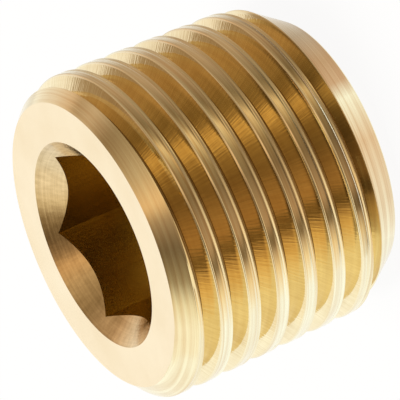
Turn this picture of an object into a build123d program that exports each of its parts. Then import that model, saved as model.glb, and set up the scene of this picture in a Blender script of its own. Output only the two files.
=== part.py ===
from build123d import *
import math
import os

os.makedirs("parts", exist_ok=True)

# Pipe plug: one brass piece with a tapered outside thread and a hexagon socket in its wide end.
# Z is the axis and points out of the socket. The narrow inner end lies on Z = 0.

# Body
LENGTH = 8.0
FACE_DIAMETER = 9.0  # flat face round the socket
FACE_CHAMFER_ANGLE = 45.0  # from the axis
INNER_END_DIAMETER = 8.0
LEAD_IN_ANGLE = 35.0  # chamfer of the inner end, from the axis

# Tapered fine thread M10 x 1, right hand
PITCH = 1.0
TAPER = 1 / 16  # on the diameter
GAUGE_DIAMETER = 10.0  # over the crests at the gauge plane
GAUGE_LENGTH = 5.5  # from the inner end to the gauge plane
FLANK_ANGLE = 60.0  # between the two flanks of the groove
CREST_WIDTH = 0.28
ROOT_RADIUS = 0.05  # nose of the threading tool
GROOVE_START = 0.608  # depth of the groove's middle below the socket face, on the +X side
SPARE_TURNS = 2  # turns of thread beyond each end, before the ends are turned off

# Hexagon socket for a 5 mm key, flats square to X
KEY_SIZE = 5.0
KEY_CLEARANCE = 0.08
SOCKET_DEPTH = 4.0
MOUTH_DIAMETER = 6.5
COUNTERSINK_ANGLE = 90.0
PILOT_DIAMETER = 4.9
PILOT_DEPTH = 4.5  # to the shoulder of the drill point
DRILL_POINT_ANGLE = 118.0

# How finely the thread is drawn
POINTS_PER_TURN = 24
ROOT_STRIPS = 4


# Thread form: offsets along the axis from the groove's middle, and depths below the crests
half_flank = math.radians(FLANK_ANGLE / 2)
half_groove = (PITCH - CREST_WIDTH) / 2
root_centre_depth = half_groove / math.tan(half_flank) - ROOT_RADIUS / math.sin(half_flank)
root_half_arc = math.pi / 2 - half_flank
groove_lines = [(-half_groove, 0)]
for strip_edge in range(ROOT_STRIPS + 1):
    arc = root_half_arc * (2 * strip_edge / ROOT_STRIPS - 1)
    groove_lines.append((ROOT_RADIUS * math.sin(arc), root_centre_depth + ROOT_RADIUS * math.cos(arc)))
groove_lines.append((half_groove, 0))

turns_below = math.ceil((LENGTH - GROOVE_START) / PITCH) + SPARE_TURNS
turn_count = turns_below + SPARE_TURNS
lowest_groove = LENGTH - GROOVE_START - turns_below * PITCH


def crest_radius(z):
    return (GAUGE_DIAMETER + (z - GAUGE_LENGTH) * TAPER) / 2


def helix(turn, offset, depth):
    """One full turn of a line of the thread on its cone."""
    growth = PITCH * TAPER / (4 * math.pi)
    angles = [2 * math.pi * step / POINTS_PER_TURN for step in range(POINTS_PER_TURN + 1)]
    points = []
    headings = []
    for angle in angles:
        z = lowest_groove + PITCH * (turn + angle / (2 * math.pi)) + offset
        radius = crest_radius(z) - depth
        outward = Vector(math.cos(angle), math.sin(angle), 0)
        along = Vector(-math.sin(angle), math.cos(angle), 0)
        points.append(outward * radius + Vector(0, 0, z))
        headings.append(outward * growth + along * radius + Vector(0, 0, PITCH / (2 * math.pi)))
    ends = (headings[0], headings[-1])
    return Edge.make_spline(points, tangents=ends, parameters=angles, scale=False)


def thread_turn(turn):
    """Lower flank, rounded root, upper flank and crest of one turn, as strips between helices."""
    lines = [helix(turn, offset, depth) for offset, depth in groove_lines]
    lines.append(helix(turn + 1, *groove_lines[0]))
    return [Face.make_surface_from_curves(low, high) for low, high in zip(lines, lines[1:])]


def thread_end(turn, profile):
    """Closes the thread at one end: a spiral floor in to the axis, and the step where its turn is complete."""
    edge = helix(turn, *groove_lines[0])
    low = edge @ 0
    high = edge @ 1
    axis_line = Edge.make_line((0, 0, low.Z), (0, 0, high.Z))
    low_line = Edge.make_line((0, 0, low.Z), low)
    high_line = Edge.make_line((0, 0, high.Z), high)
    floor = Face.make_surface_from_curves(axis_line, edge)
    step = Face(Wire(profile + [low_line, axis_line, high_line]))
    return [floor, step]


# Threaded bar, longer than the plug at both ends
turns = [thread_turn(turn) for turn in range(turn_count)]
first_profile = [face.edges().sort_by(Axis.Z)[0] for face in turns[0]]
last_profile = [face.edges().sort_by(Axis.Z)[-1] for face in turns[-1]]
bar_faces = [face for turn in turns for face in turn]
bar_faces += thread_end(0, first_profile)
bar_faces += thread_end(turn_count, last_profile)
threaded_bar = Solid(Shell(bar_faces))

# Outline of the two turned ends: flat faces and chamfers, which run on past the crests
face_radius = FACE_DIAMETER / 2
inner_radius = INNER_END_DIAMETER / 2
clear_radius = crest_radius(LENGTH) + PITCH
face_chamfer_length = (clear_radius - face_radius) / math.tan(math.radians(FACE_CHAMFER_ANGLE))
lead_in_length = (clear_radius - inner_radius) / math.tan(math.radians(LEAD_IN_ANGLE))
with BuildPart() as turned_ends:
    with BuildSketch(Plane.YZ):
        with BuildLine():
            Polyline(
                (0, 0),
                (inner_radius, 0),
                (clear_radius, lead_in_length),
                (clear_radius, LENGTH - face_chamfer_length),
                (face_radius, LENGTH),
                (0, LENGTH),
                close=True,
            )
        make_face()
    revolve(axis=Axis.Z)

# Socket: drilled, countersunk and broached from the wide end
pilot_radius = PILOT_DIAMETER / 2
mouth_radius = MOUTH_DIAMETER / 2
point_depth = PILOT_DEPTH + pilot_radius / math.tan(math.radians(DRILL_POINT_ANGLE / 2))
countersink_depth = mouth_radius / math.tan(math.radians(COUNTERSINK_ANGLE / 2))
with BuildPart() as socket:
    with BuildSketch(Plane.YZ):
        with BuildLine():
            Polyline(
                (0, LENGTH),
                (pilot_radius, LENGTH),
                (pilot_radius, LENGTH - PILOT_DEPTH),
                (0, LENGTH - point_depth),
                close=True,
            )
        make_face()
        with BuildLine():
            Polyline(
                (0, LENGTH),
                (mouth_radius, LENGTH),
                (0, LENGTH - countersink_depth),
                close=True,
            )
        make_face()
    revolve(axis=Axis.Z)
    with BuildSketch(Plane.XY.offset(LENGTH)):
        RegularPolygon((KEY_SIZE + KEY_CLEARANCE) / 2, 6, major_radius=False, rotation=30)
    extrude(amount=-SOCKET_DEPTH)

plug_body = (turned_ends.part & threaded_bar) - socket.part
export_step(plug_body, "parts/plug_body.step")
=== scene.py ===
from math import cos, pi, radians, sin, tan
from typing import NamedTuple

import bpy
import numpy as np
from mathutils import Matrix


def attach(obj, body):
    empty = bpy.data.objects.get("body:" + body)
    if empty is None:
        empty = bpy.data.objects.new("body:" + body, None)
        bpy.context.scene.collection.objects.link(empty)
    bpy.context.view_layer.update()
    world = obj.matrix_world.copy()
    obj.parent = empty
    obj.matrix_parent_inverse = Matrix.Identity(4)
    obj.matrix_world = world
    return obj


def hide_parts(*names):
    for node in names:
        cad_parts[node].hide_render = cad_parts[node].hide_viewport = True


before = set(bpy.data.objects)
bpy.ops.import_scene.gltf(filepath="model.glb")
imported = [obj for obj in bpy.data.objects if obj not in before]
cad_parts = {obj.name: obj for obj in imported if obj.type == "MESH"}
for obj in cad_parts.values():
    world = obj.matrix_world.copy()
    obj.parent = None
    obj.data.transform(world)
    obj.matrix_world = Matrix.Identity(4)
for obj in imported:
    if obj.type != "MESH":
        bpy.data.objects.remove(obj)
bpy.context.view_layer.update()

MM = 0.001

# The plug's sizes, in millimetres and degrees, as in the solid.
LENGTH = 8.0
FACE_RADIUS = 4.5
FACE_CHAMFER_ANGLE = 45.0
INNER_END_RADIUS = 4.0
LEAD_IN_ANGLE = 35.0
PITCH = 1.0
TAPER = 1 / 16
GAUGE_RADIUS = 5.0
GAUGE_LENGTH = 5.5
HALF_FLANK_ANGLE = 30.0
CREST_WIDTH = 0.28
ROOT_RADIUS = 0.05
GROOVE_START = 0.608
HEXAGON_RADIUS = 2.54
SOCKET_DEPTH = 4.0
MOUTH_RADIUS = 3.25
PILOT_RADIUS = 2.45
PILOT_DEPTH = 4.5
COUNTERSINK_HALF_ANGLE = 45.0
DRILL_POINT_HALF_ANGLE = 59.0

# Rounding of the edges. The crests are worn more on the edge towards the socket.
EDGE_SOFTNESS = 0.035
WORN_SOFTNESS = 0.06

# The threading tool left a burr on the other edge of each crest, which overhangs the groove behind a fine
# furrow. Places are distances along the axis from the middle of the groove.
BURR_EDGE = 0.262
BURR_STEEPNESS = 8.0
FURROW_PLACE = 0.36
FURROW_WIDTH = 0.05
FURROW_DEPTH = 0.024
CREST_LIMIT = 5.035  # radius that keeps the burr inside the solid's box

# Where one finish gives way to the next.
ROOT_SHADE_REACH = 0.04  # of the root's painted shade, to both sides of the groove's middle
CREST_REACH = 0.03  # of the crest's finish, over its worn edge
RUN_OUT_DEPTH = 0.2  # shallower than this below a chamfer, the groove has the chamfer's finish

# How finely the mesh follows the sizes. Columns run along the axis, and the hexagon's corners fall on
# columns. Rows run with the groove, at these distances from its middle.
COLUMNS = 240
FRONT_FLANK_ROWS = (-0.42, -0.4, -0.385, -0.375, -0.367, -0.36, -0.352, -0.344, -0.334, -0.32, -0.24, -0.1)
ROOT_ROWS = (-0.0433, -0.03, -0.015, 0.0, 0.015, 0.03, 0.0433)
REAR_FLANK_ROWS = (0.1, 0.17, 0.23, 0.247, 0.255, 0.262, 0.269, 0.28)
FURROW_ROWS = (0.292, 0.305, 0.32, 0.335, 0.35, 0.365, 0.38, 0.395, 0.41, 0.43, 0.455, 0.48)
EDGE_ROWS = (-0.03, -0.012, 0.0, 0.012, 0.03)
ROW_GAP = 0.008
TURNS = range(-10, 2)  # from below the inner end to above the face
SEARCH_STEPS = 4000  # for the edges where the turned shape cuts the thread
SMALL = 1e-4


class Look(NamedTuple):
    """What one tool leaves on the brass: marks that run round the axis, and chatter across them. The darker
    colours of the root, the countersink and the socket are painted shade.
    """

    dark: tuple
    light: tuple
    shares: tuple  # of tarnish, marks and chatter in the colour
    roughness: float
    marks: float  # per millimetre
    mark_depth: float  # in millimetres
    chatter: float  # per turn
    chatter_length: float  # per millimetre
    chatter_depth: float  # in millimetres


LOOKS = {
    "flank": Look(
        dark=(0.80, 0.66, 0.38),
        light=(1.0, 0.89, 0.58),
        shares=(0.4, 0.2, 0.4),
        roughness=0.06,
        marks=14.0,
        mark_depth=0.0006,
        chatter=480.0,
        chatter_length=2.0,
        chatter_depth=0.006,
    ),
    "rear flank": Look(
        dark=(0.74, 0.57, 0.27),
        light=(0.90, 0.73, 0.37),
        shares=(0.4, 0.4, 0.2),
        roughness=0.07,
        marks=14.0,
        mark_depth=0.0006,
        chatter=480.0,
        chatter_length=2.0,
        chatter_depth=0.001,
    ),
    # The root's dark colours are painted shade, for the shade deep in the groove.
    "root": Look(
        dark=(0.28, 0.19, 0.08),
        light=(0.44, 0.31, 0.14),
        shares=(0.8, 0.2, 0.0),
        roughness=0.35,
        marks=14.0,
        mark_depth=0.0006,
        chatter=60.0,
        chatter_length=4.0,
        chatter_depth=0.0004,
    ),
    "crest": Look(
        dark=(0.84, 0.70, 0.44),
        light=(1.0, 0.98, 0.74),
        shares=(0.2, 0.8, 0.0),
        roughness=0.16,
        marks=14.0,
        mark_depth=0.004,
        chatter=60.0,
        chatter_length=4.0,
        chatter_depth=0.0004,
    ),
    "turned": Look(
        dark=(0.80, 0.64, 0.38),
        light=(1.0, 0.95, 0.66),
        shares=(0.3, 0.7, 0.0),
        roughness=0.14,
        marks=14.0,
        mark_depth=0.004,
        chatter=40.0,
        chatter_length=4.0,
        chatter_depth=0.0003,
    ),
    "face": Look(
        dark=(0.92, 0.76, 0.50),
        light=(0.98, 0.84, 0.59),
        shares=(0.7, 0.3, 0.0),
        roughness=0.20,
        marks=20.0,
        mark_depth=0.0002,
        chatter=40.0,
        chatter_length=4.0,
        chatter_depth=0.0002,
    ),
    # The countersink's and the socket's darker colours are painted shade of the socket's hollow.
    "countersink": Look(
        dark=(0.56, 0.42, 0.22),
        light=(0.92, 0.74, 0.44),
        shares=(0.3, 0.4, 0.3),
        roughness=0.20,
        marks=8.0,
        mark_depth=0.003,
        chatter=120.0,
        chatter_length=2.0,
        chatter_depth=0.002,
    ),
    "socket": Look(
        dark=(0.50, 0.37, 0.13),
        light=(0.80, 0.64, 0.27),
        shares=(0.6, 0.0, 0.4),
        roughness=0.20,
        marks=1.0,
        mark_depth=0.0005,
        chatter=200.0,
        chatter_length=0.2,
        chatter_depth=0.001,
    ),
}
FINISHES = list(LOOKS)
MARK_DRIFT = 150.0  # how fast the marks change along their length, per metre
TARNISH_SCALE = 500.0  # per metre
TONE_RANGE = (0.35, 0.65)  # of the noise, from the dark colour to the light one
MARK_RANGE = (0.3, 0.7)  # of the noise, from the smoothest marks to the roughest
ROUGHNESS_RANGE = (0.8, 1.2)  # of the look's roughness, over those marks

# The studio that the metal mirrors, as tones by the angle round the axis. The fan and the ring are cards on
# the floor. Their angles are those of the plug's side that mirrors them in the photograph's view. The world's
# angles are its own directions.
# The cards glow and show only in the metal, so their tones are painted reflections; the fan is darker nearest
# the plug, as painted shade in them.
CAMERA_AZIMUTH = 75.48
CARD_LIFT = 0.02
FAN_START = 5.0
FAN_REACHES = ((0.65, 0.3), (1.2, 0.4), (2.2, 0.75), (4.0, 1.0), (390.0, 1.0))
FAN = (
    (-122.0, (1.04, 1.0, 0.92)),
    (-110.0, (0.95, 0.72, 0.42)),
    (-104.0, (0.56, 0.39, 0.23)),
    (-101.0, (0.22, 0.145, 0.07)),
    (-98.0, (0.21, 0.14, 0.07)),
    (-92.0, (0.46, 0.28, 0.145)),
    (-74.0, (0.22, 0.14, 0.07)),
    (-64.0, (0.32, 0.21, 0.1)),
    (-54.0, (0.82, 0.57, 0.29)),
    (-50.0, (0.37, 0.25, 0.13)),
    (-44.0, (0.225, 0.153, 0.077)),
    (-24.0, (0.48, 0.325, 0.20)),
    (-10.0, (0.5, 0.37, 0.26)),
    (10.0, (1.0, 1.0, 1.0)),
)
RING_RADII = (4.02, 5.6)
RING = (
    (-130.0, (1.0, 1.0, 1.0)),
    (-80.0, (0.81, 0.62, 0.5)),
    (-60.0, (1.0, 1.0, 0.98)),
    (-52.0, (0.66, 0.46, 0.35)),
    (-40.0, (0.55, 0.37, 0.26)),
    (-20.0, (0.51, 0.42, 0.36)),
    (20.0, (1.0, 1.0, 1.0)),
)
LOW_WORLD = (
    (-180.0, (1.05, 1.05, 1.05)),
    (-150.0, (1.02, 0.97, 0.88)),
    (-110.0, (1.0, 0.78, 0.5)),
    (-78.0, (0.56, 0.4, 0.23)),
    (-60.0, (0.32, 0.22, 0.13)),
    (20.0, (0.4, 0.28, 0.16)),
    (50.0, (0.74, 0.52, 0.36)),
    (85.0, (1.05, 1.05, 1.05)),
)
HIGH_WORLD = (
    (-180.0, (1.02, 0.95, 0.84)),
    (-163.0, (0.87, 0.75, 0.55)),
    (-146.0, (0.31, 0.22, 0.12)),
    (-115.0, (0.15, 0.1, 0.055)),
    (-80.0, (0.38, 0.25, 0.145)),
    (-60.0, (0.88, 0.57, 0.31)),
    (-24.0, (0.57, 0.42, 0.26)),
    (14.0, (0.3, 0.21, 0.12)),
    (32.0, (0.63, 0.46, 0.32)),
    (56.0, (0.32, 0.2, 0.1)),
    (90.0, (0.6, 0.49, 0.37)),
    (108.0, (0.98, 0.92, 0.84)),
    (180.0, (1.02, 0.95, 0.84)),
)
HIGH_WORLD_FROM = 0.43  # sine of the height at which the low tones give way to the high ones
HIGH_WORLD_TO = 0.53

FLOOR_SIZE = 400.0
FLOOR_GLOW = 0.92


def soft_min(a, b, softness):
    """The smaller of two heights, with the edge between them rounded."""
    share = np.clip(0.5 + 0.5 * (b - a) / softness, 0.0, 1.0)
    return b + (a - b) * share - softness * share * (1.0 - share)


def groove_side(phi, z):
    """Distance along the axis from the middle of the nearest groove, more than 0 towards the socket."""
    groove = LENGTH - GROOVE_START + PITCH * phi / (2 * pi)
    return (z - groove + PITCH / 2) % PITCH - PITCH / 2


def thread_radius(phi, z):
    """Radius over the tapered thread alone, at an angle round the axis and a height above the inner end."""
    crest = np.minimum(GAUGE_RADIUS + (z - GAUGE_LENGTH) * TAPER / 2, CREST_LIMIT)
    side = groove_side(phi, z)
    offset = np.abs(side)
    slope = 1 / tan(radians(HALF_FLANK_ANGLE))
    sharp_depth = (PITCH - CREST_WIDTH) / 2 * slope
    middle = sharp_depth - ROOT_RADIUS / sin(radians(HALF_FLANK_ANGLE))
    arc = middle + np.sqrt(np.maximum(ROOT_RADIUS**2 - offset**2, 0.0))
    root_reach = ROOT_RADIUS * cos(radians(HALF_FLANK_ANGLE))
    depth = np.where(offset < root_reach, arc, sharp_depth - slope * offset)
    burr = np.where(side > 0.0, BURR_STEEPNESS * (side - BURR_EDGE), -sharp_depth)
    furrow = FURROW_DEPTH * np.exp(-(((side - FURROW_PLACE) / FURROW_WIDTH) ** 2))
    softness = np.where(side < 0.0, WORN_SOFTNESS, EDGE_SOFTNESS)
    return crest + soft_min(np.maximum(-depth, burr), -furrow, softness)


def turned_radius(z):
    """Radius of the turned shape: the face's chamfer and the lead-in."""
    front = FACE_RADIUS + (LENGTH - z) * tan(radians(FACE_CHAMFER_ANGLE))
    rear = INNER_END_RADIUS + z * tan(radians(LEAD_IN_ANGLE))
    return np.minimum(front, rear)


def outer_radius(phi, z):
    return soft_min(thread_radius(phi, z), turned_radius(z), EDGE_SOFTNESS)


def outer_normal(phi, z):
    """Unit normals of the outer surface, from its slopes along and round the axis."""
    radius = outer_radius(phi, z)
    along = (outer_radius(phi, z + SMALL) - outer_radius(phi, z - SMALL)) / (2 * SMALL)
    around = (outer_radius(phi + SMALL, z) - outer_radius(phi - SMALL, z)) / (2 * SMALL) / radius
    normal = np.stack(
        [
            np.cos(phi) + around * np.sin(phi),
            np.sin(phi) - around * np.cos(phi),
            -along,
        ],
        axis=-1,
    )
    return normal / np.linalg.norm(normal, axis=-1, keepdims=True)


def outer_finish(phi, z):
    """The name of the finish at this place. The root's finish is painted shade."""
    if turned_radius(z) < thread_radius(phi, z) + RUN_OUT_DEPTH:
        return "turned"
    side = groove_side(phi, z)
    half_groove = (PITCH - CREST_WIDTH) / 2
    if side < -half_groove + CREST_REACH or side > BURR_EDGE:
        return "crest"
    # Near the groove's middle the dark root colour is painted shade in the groove.
    if abs(side) < ROOT_SHADE_REACH:
        return "root"
    return "rear flank" if side > 0.0 else "flank"


class Skin:
    """Collects points and faces, and for each corner of a face its normal and its place on the turned
    surface: the angle round the axis in turns, and the distance across the cutting marks in millimetres."""

    def __init__(self):
        self.points = []
        self.faces = []
        self.finishes = []
        self.normals = []
        self.places = []

    def add(self, points):
        first = len(self.points)
        self.points.extend(map(tuple, points))
        return list(range(first, len(self.points)))

    def face(self, finish, corners, normals, places):
        self.faces.append(corners)
        self.finishes.append(FINISHES.index(finish))
        self.normals.extend(normals)
        self.places.extend(places)


def groove_phases():
    """Heights of the rows that run with the groove, on the +X side, for every turn that the plug has."""
    one = np.array(FRONT_FLANK_ROWS + ROOT_ROWS + REAR_FLANK_ROWS + FURROW_ROWS + (PITCH / 2,))
    turns = np.array(TURNS)
    return np.sort((LENGTH - GROOVE_START + turns[:, None] * PITCH + one[None, :]).ravel())


def column_heights(phi, phases):
    """Heights of one column's points: the groove's rows, the edges where the turned shape cuts it, and
    both ends."""
    z = phases + PITCH * phi / (2 * pi)
    dense = np.linspace(0.0, LENGTH, SEARCH_STEPS + 1)
    gap = thread_radius(phi, dense) - turned_radius(dense)
    crossings = dense[:-1][np.sign(gap[:-1]) != np.sign(gap[1:])]
    edges = (crossings[:, None] + np.array(EDGE_ROWS)[None, :]).ravel()
    clear = np.all(np.abs(z[:, None] - edges[None, :]) > ROW_GAP, axis=1)
    z = np.concatenate([z[clear], edges])
    z = np.sort(z[(z > ROW_GAP) & (z < LENGTH - ROW_GAP)])
    return np.concatenate([[0.0], z, [LENGTH]])


def outer_skin(skin):
    """The thread, both chamfers and the groove's run-outs. Gives back the points round the two ends."""
    phases = groove_phases()
    columns = []
    for j in range(COLUMNS):
        phi = 2 * pi * j / COLUMNS
        z = column_heights(phi, phases)
        radius = outer_radius(phi, z)
        points = np.stack([radius * cos(phi), radius * sin(phi), z], axis=-1)
        columns.append((skin.add(points), z, outer_normal(phi + 0.0 * z, z)))
    for j in range(COLUMNS):
        join_columns(skin, j, columns[j], columns[(j + 1) % COLUMNS])
    return [column[0][0] for column in columns], [column[0][-1] for column in columns]


def join_columns(skin, j, left_column, right_column):
    """Faces between two neighbouring columns, whose rows follow the helix."""
    left, left_z, left_normal = left_column
    right, right_z, right_normal = right_column
    left_phase = left_z - PITCH * j / COLUMNS
    right_phase = right_z - PITCH * (j + 1) / COLUMNS
    a = b = 0
    while a < len(left) - 1 or b < len(right) - 1:
        step_a = left_phase[a + 1] if a < len(left) - 1 else np.inf
        step_b = right_phase[b + 1] if b < len(right) - 1 else np.inf
        together = abs(step_a - step_b) < ROW_GAP / 2
        lower_left, lower_right = a, b
        a += together or step_a <= step_b
        b += together or step_b < step_a
        rights = range(lower_right, b + 1)
        lefts = range(a, lower_left - 1, -1)
        middle = np.mean([right_z[i] for i in rights] + [left_z[i] for i in lefts])
        finish = outer_finish(2 * pi * (j + 0.5) / COLUMNS, middle)
        left_across, right_across = (left_z, right_z) if finish == "turned" else (left_phase, right_phase)
        right_places = [((j + 1) / COLUMNS, right_across[i]) for i in rights]
        left_places = [(j / COLUMNS, left_across[i]) for i in lefts]
        skin.face(
            finish,
            [right[i] for i in rights] + [left[i] for i in lefts],
            [right_normal[i] for i in rights] + [left_normal[i] for i in lefts],
            right_places + left_places,
        )


def ring(skin, radius, z):
    phi = np.arange(COLUMNS) * 2 * pi / COLUMNS
    radius = np.broadcast_to(radius, phi.shape)
    z = np.broadcast_to(z, phi.shape)
    return skin.add(np.stack([radius * np.cos(phi), radius * np.sin(phi), z], axis=-1))


def band(skin, finish, upper, lower, normals):
    """Faces between two rings. The marks on them run round the axis."""
    for j in range(COLUMNS):
        k = (j + 1) % COLUMNS
        first, second = normals(j, k)
        corners = [upper[j], upper[k], lower[k], lower[j]]
        across = [np.hypot(*skin.points[i][:2]) + skin.points[i][2] for i in corners]
        around = [j / COLUMNS, (j + 1) / COLUMNS, (j + 1) / COLUMNS, j / COLUMNS]
        skin.face(finish, corners, [first, second, second, first], list(zip(around, across)))


def turned_normals(out, up):
    """Normals of a turned surface that leans out from the axis and up by these shares."""

    def normals(j, k):
        a = 2 * pi * j / COLUMNS
        b = 2 * pi * k / COLUMNS
        return (out * cos(a), out * sin(a), up), (out * cos(b), out * sin(b), up)

    return normals


def hexagon_normals(j, k):
    side = round((j + 0.5) * 6 / COLUMNS) * pi / 3
    normal = (-cos(side), -sin(side), 0.0)
    return normal, normal


def socket_skin(skin, face):
    """The face, the countersink, the hexagon, and the drilled pilot hole with its point."""
    phi = np.arange(COLUMNS) * 2 * pi / COLUMNS
    side = np.round(phi / (pi / 3)) * pi / 3
    hexagon = HEXAGON_RADIUS / np.cos(phi - side)
    flat_up = turned_normals(0.0, 1.0)
    slant = radians(COUNTERSINK_HALF_ANGLE)
    lean = radians(DRILL_POINT_HALF_ANGLE)

    mouth = ring(skin, MOUTH_RADIUS, LENGTH)
    sink = ring(skin, hexagon, LENGTH - (MOUTH_RADIUS - hexagon) / tan(slant))
    hexagon_end = ring(skin, hexagon, LENGTH - SOCKET_DEPTH)
    pilot_start = ring(skin, PILOT_RADIUS, LENGTH - SOCKET_DEPTH)
    pilot_end = ring(skin, PILOT_RADIUS, LENGTH - PILOT_DEPTH)
    tip = skin.add([(0.0, 0.0, LENGTH - PILOT_DEPTH - PILOT_RADIUS / tan(lean))])[0]
    band(skin, "face", face, mouth, flat_up)
    band(skin, "countersink", mouth, sink, turned_normals(-cos(slant), sin(slant)))
    band(skin, "socket", sink, hexagon_end, hexagon_normals)
    band(skin, "socket", hexagon_end, pilot_start, flat_up)
    band(skin, "socket", pilot_start, pilot_end, turned_normals(-1.0, 0.0))
    point(skin, "socket", pilot_end, tip, turned_normals(-cos(lean), sin(lean)))


def point(skin, finish, edge, tip, normals):
    """Faces from a ring to a point on the axis."""
    for j in range(COLUMNS):
        k = (j + 1) % COLUMNS
        first, second = normals(j, k)
        reach = np.hypot(*skin.points[edge[j]][:2])
        places = [(j / COLUMNS, reach), ((j + 1) / COLUMNS, reach), (j / COLUMNS, 0.0)]
        skin.face(finish, [edge[j], edge[k], tip], [first, second, first], places)


def inner_end_skin(skin, base):
    """The flat inner end, which faces down, so its ring is taken the other way round."""
    centre = skin.add([(0.0, 0.0, 0.0)])[0]
    for j in range(COLUMNS):
        k = (j + 1) % COLUMNS
        places = [((j + 1) / COLUMNS, INNER_END_RADIUS), (j / COLUMNS, INNER_END_RADIUS), (j / COLUMNS, 0.0)]
        skin.face("turned", [base[k], base[j], centre], [(0.0, 0.0, -1.0)] * 3, places)


def build_plug():
    skin = Skin()
    base, face = outer_skin(skin)
    socket_skin(skin, face)
    inner_end_skin(skin, base)
    mesh = bpy.data.meshes.new("plug")
    mesh.from_pydata((np.array(skin.points) * MM).tolist(), [], skin.faces)
    mesh.polygons.foreach_set("use_smooth", [True] * len(mesh.polygons))
    mesh.polygons.foreach_set("material_index", skin.finishes)
    places = mesh.uv_layers.new(name="turning")
    places.data.foreach_set("uv", np.array(skin.places, dtype=np.float32).ravel())
    mesh.normals_split_custom_set(skin.normals)
    mesh.update()
    for finish, look in LOOKS.items():
        mesh.materials.append(brass("brass " + finish, look))
    plug = bpy.data.objects.new("plug", mesh)
    bpy.context.collection.objects.link(plug)
    return plug


class Nodes:
    """A short way to add shader nodes and join them."""

    def __init__(self, tree):
        self.tree = tree

    def add(self, kind, inputs=(), **settings):
        node = self.tree.nodes.new(kind)
        for name, value in settings.items():
            setattr(node, name, value)
        for socket, value in dict(inputs).items():
            if isinstance(value, bpy.types.NodeSocket):
                self.tree.links.new(value, node.inputs[socket])
            else:
                node.inputs[socket].default_value = value
        return node

    def math(self, operation, first, second):
        return self.add("ShaderNodeMath", {0: first, 1: second}, operation=operation).outputs[0]

    def noise(self, vector, scale, detail):
        inputs = {"Vector": vector, "Scale": scale, "Detail": detail}
        return self.add("ShaderNodeTexNoise", inputs).outputs[0]

    def ramp(self, value, stops):
        """A colour ramp through these places and colours."""
        node = self.add("ShaderNodeValToRGB", {"Fac": value})
        elements = node.color_ramp.elements
        elements.remove(elements[-1])
        for i, (place, colour) in enumerate(stops):
            element = elements[0] if i == 0 else elements.new(place)
            element.position = place
            element.color = (*colour, 1.0)
        return node.outputs["Color"]

    def join(self, output, node, socket):
        self.tree.links.new(output, self.tree.nodes[node].inputs[socket])


def brass(name, look):
    """Brass as one tool leaves it, with a light tarnish. Its darker colours for the root, the countersink and
    the socket are painted shade.
    """
    material = bpy.data.materials.new(name)
    material.use_nodes = True
    nodes = Nodes(material.node_tree)
    body = nodes.add("ShaderNodeTexCoord").outputs["Object"]
    where = nodes.add("ShaderNodeSeparateXYZ", {0: body})
    place = nodes.add("ShaderNodeUVMap", uv_map="turning")
    place = nodes.add("ShaderNodeSeparateXYZ", {0: place.outputs["UV"]})
    around, across = place.outputs["X"], place.outputs["Y"]

    along_marks = {
        "X": nodes.math("MULTIPLY", across, look.marks),
        "Y": nodes.math("MULTIPLY", where.outputs["X"], MARK_DRIFT),
        "Z": nodes.math("MULTIPLY", where.outputs["Y"], MARK_DRIFT),
    }
    along_chatter = {
        "X": nodes.math("MULTIPLY", around, look.chatter),
        "Y": nodes.math("MULTIPLY", across, look.chatter_length),
    }
    marks = nodes.noise(nodes.add("ShaderNodeCombineXYZ", along_marks).outputs[0], 1.0, 3.0)
    chatter = nodes.noise(nodes.add("ShaderNodeCombineXYZ", along_chatter).outputs[0], 1.0, 2.0)
    tarnish = nodes.noise(body, TARNISH_SCALE, 4.0)

    marked = nodes.add("ShaderNodeBump", {"Height": marks, "Distance": look.mark_depth * MM})
    chattered = nodes.add(
        "ShaderNodeBump",
        {"Height": chatter, "Distance": look.chatter_depth * MM, "Normal": marked.outputs[0]},
    )
    tone = nodes.math("MULTIPLY", tarnish, look.shares[0])
    tone = nodes.math("ADD", tone, nodes.math("MULTIPLY", marks, look.shares[1]))
    tone = nodes.math("ADD", tone, nodes.math("MULTIPLY", chatter, look.shares[2]))
    rough = nodes.add(
        "ShaderNodeMapRange",
        {
            "Value": marks,
            "From Min": MARK_RANGE[0],
            "From Max": MARK_RANGE[1],
            "To Min": look.roughness * ROUGHNESS_RANGE[0],
            "To Max": look.roughness * ROUGHNESS_RANGE[1],
        },
    )
    colour = nodes.ramp(tone, list(zip(TONE_RANGE, (look.dark, look.light))))
    nodes.join(colour, "Principled BSDF", "Base Color")
    nodes.join(rough.outputs[0], "Principled BSDF", "Roughness")
    nodes.join(chattered.outputs[0], "Principled BSDF", "Normal")
    shader = material.node_tree.nodes["Principled BSDF"]
    shader.inputs["Metallic"].default_value = 1.0
    return material


def add_stage(name, points, faces):
    mesh = bpy.data.meshes.new(name)
    mesh.from_pydata([(x * MM, y * MM, z * MM) for x, y, z in points], [], faces)
    mesh.update()
    stage = bpy.data.objects.new(name, mesh)
    bpy.context.collection.objects.link(stage)
    material = bpy.data.materials.new(name)
    material.use_nodes = True
    mesh.materials.append(material)
    return stage, Nodes(material.node_tree)


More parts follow.
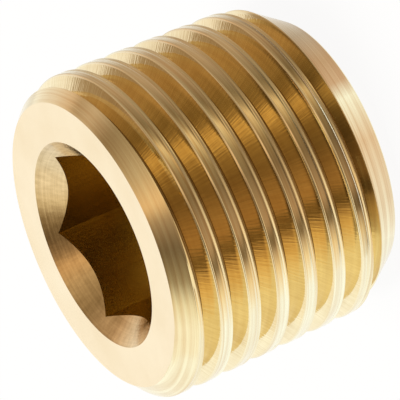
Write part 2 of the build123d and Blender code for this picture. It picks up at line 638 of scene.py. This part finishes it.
def add_floor():
    """A matt pale floor, which looks white to the camera and in the metal, and keeps the plug's shadow."""
    corners = [(x * FLOOR_SIZE, y * FLOOR_SIZE, 0.0) for x, y in ((-1, -1), (1, -1), (1, 1), (-1, 1))]
    _, nodes = add_stage("floor", corners, [(0, 1, 2, 3)])
    shader = nodes.tree.nodes["Principled BSDF"]
    shader.inputs["Base Color"].default_value = (0.9, 0.9, 0.9, 1.0)
    shader.inputs["Roughness"].default_value = 1.0
    shader.inputs["Specular IOR Level"].default_value = 0.0
    glow = nodes.add("ShaderNodeEmission", {"Color": (1.0, 1.0, 1.0, 1.0)})
    path = nodes.add("ShaderNodeLightPath").outputs
    seen = nodes.math("MAXIMUM", path["Is Camera Ray"], path["Is Glossy Ray"])
    seen = nodes.math("MAXIMUM", seen, path["Is Transmission Ray"])
    share = nodes.math("MULTIPLY", seen, FLOOR_GLOW)
    mix = nodes.add("ShaderNodeMixShader", {0: share, 1: shader.outputs[0], 2: glow.outputs[0]})
    nodes.join(mix.outputs[0], "Material Output", "Surface")


def tones_at(angles, stops):
    known = [angle for angle, _ in stops]
    return np.stack([np.interp(angles, known, [tone[i] for _, tone in stops]) for i in range(3)], axis=-1)


def add_card(name, rows):
    """A graded studio card on the floor that only shows in the metal, from rows of points and their tones. It
    glows, lights nothing, and paints reflections.
    """
    count = len(rows[0][0])
    points = [(px, py, CARD_LIFT) for x, y, _ in rows for px, py in zip(x, y)]
    faces = []
    for row in range(len(rows) - 1):
        for first in range(row * count, (row + 1) * count - 1):
            faces.append((first, first + count, first + count + 1, first + 1))
    card, nodes = add_stage(name, points, faces)
    tones = np.concatenate([tones for _, _, tones in rows])
    shades = card.data.color_attributes.new("tone", "FLOAT_COLOR", "POINT")
    shades.data.foreach_set("color", np.c_[tones, np.ones(len(tones))].ravel())
    tone = nodes.add("ShaderNodeVertexColor", layer_name="tone")
    glow = nodes.add("ShaderNodeEmission", {"Color": tone.outputs[0]})
    nodes.join(glow.outputs[0], "Material Output", "Surface")
    card.visible_camera = False
    card.visible_diffuse = False
    card.visible_transmission = False
    card.visible_volume_scatter = False
    card.visible_shadow = False


def add_fan_card():
    """A card that fans out along the lines on which each side of the plug reflects the floor."""
    angles = np.arange(FAN[0][0], FAN[-1][0] + 0.5, 0.5)
    turn = np.radians(2 * angles + CAMERA_AZIMUTH)
    rows = []
    for reach, light in FAN_REACHES:
        x = FAN_START * np.cos(np.radians(angles)) + reach * np.cos(turn)
        y = FAN_START * np.sin(np.radians(angles)) + reach * np.sin(turn)
        rows.append((x, y, tones_at(angles, FAN) * light))
    add_card("fan card", rows)


def add_ring_card():
    """A card round the inner end, for the lead-in."""
    angles = np.arange(RING[0][0], RING[-1][0] + 1.0, 1.0)
    rows = []
    for radius in RING_RADII:
        x = radius * np.cos(np.radians(angles))
        y = radius * np.sin(np.radians(angles))
        rows.append((x, y, tones_at(angles, RING)))
    add_card("ring card", rows)


def add_world():
    world = bpy.data.worlds.new("studio")
    bpy.context.scene.world = world
    world.use_nodes = True
    nodes = Nodes(world.node_tree)
    direction = nodes.add("ShaderNodeTexCoord").outputs["Generated"]
    around = nodes.add("ShaderNodeTexGradient", {"Vector": direction}, gradient_type="RADIAL").outputs["Fac"]
    height = nodes.add("ShaderNodeSeparateXYZ", {0: direction}).outputs["Z"]
    low = nodes.ramp(around, [(angle / 360 + 0.5, tone) for angle, tone in LOW_WORLD])
    high = nodes.ramp(around, [(angle / 360 + 0.5, tone) for angle, tone in HIGH_WORLD])
    share = nodes.add(
        "ShaderNodeMapRange",
        {"Value": height, "From Min": HIGH_WORLD_FROM, "From Max": HIGH_WORLD_TO},
        interpolation_type="SMOOTHSTEP",
    )
    tone = nodes.add("ShaderNodeMix", data_type="RGBA")
    world.node_tree.links.new(share.outputs[0], tone.inputs[0])
    world.node_tree.links.new(low, tone.inputs[6])
    world.node_tree.links.new(high, tone.inputs[7])
    nodes.join(tone.outputs[2], "Background", "Color")


def add_lamp():
    data = bpy.data.lights.new("softbox", "AREA")
    data.shape = "SQUARE"
    data.size = 0.2
    data.energy = 1.0
    lamp = bpy.data.objects.new("softbox", data)
    lamp.location = (-0.05, 0.05, 0.4)
    lamp.visible_glossy = False
    bpy.context.collection.objects.link(lamp)


def add_camera():
    data = bpy.data.cameras.new("camera")
    data.sensor_fit = "HORIZONTAL"
    data.sensor_width = 36.0
    data.lens = 1242.4
    data.clip_start = 0.01
    data.clip_end = 10.0
    camera = bpy.data.objects.new("camera", data)
    right = (-0.2925, -0.4484, -0.8446)
    up = (0.9281, 0.0798, -0.3637)
    back = (0.2305, -0.8903, 0.3928)
    place = (0.093954, -0.362980, 0.164454)
    turn = Matrix((right, up, back)).transposed().to_4x4()
    camera.matrix_world = Matrix.Translation(place) @ turn
    bpy.context.collection.objects.link(camera)
    bpy.context.scene.camera = camera


bpy.context.scene.view_settings.view_transform = "Standard"
plug = build_plug()
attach(plug, "root")
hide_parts("plug_body")
add_floor()
add_fan_card()
add_ring_card()
add_world()
add_lamp()
add_camera()
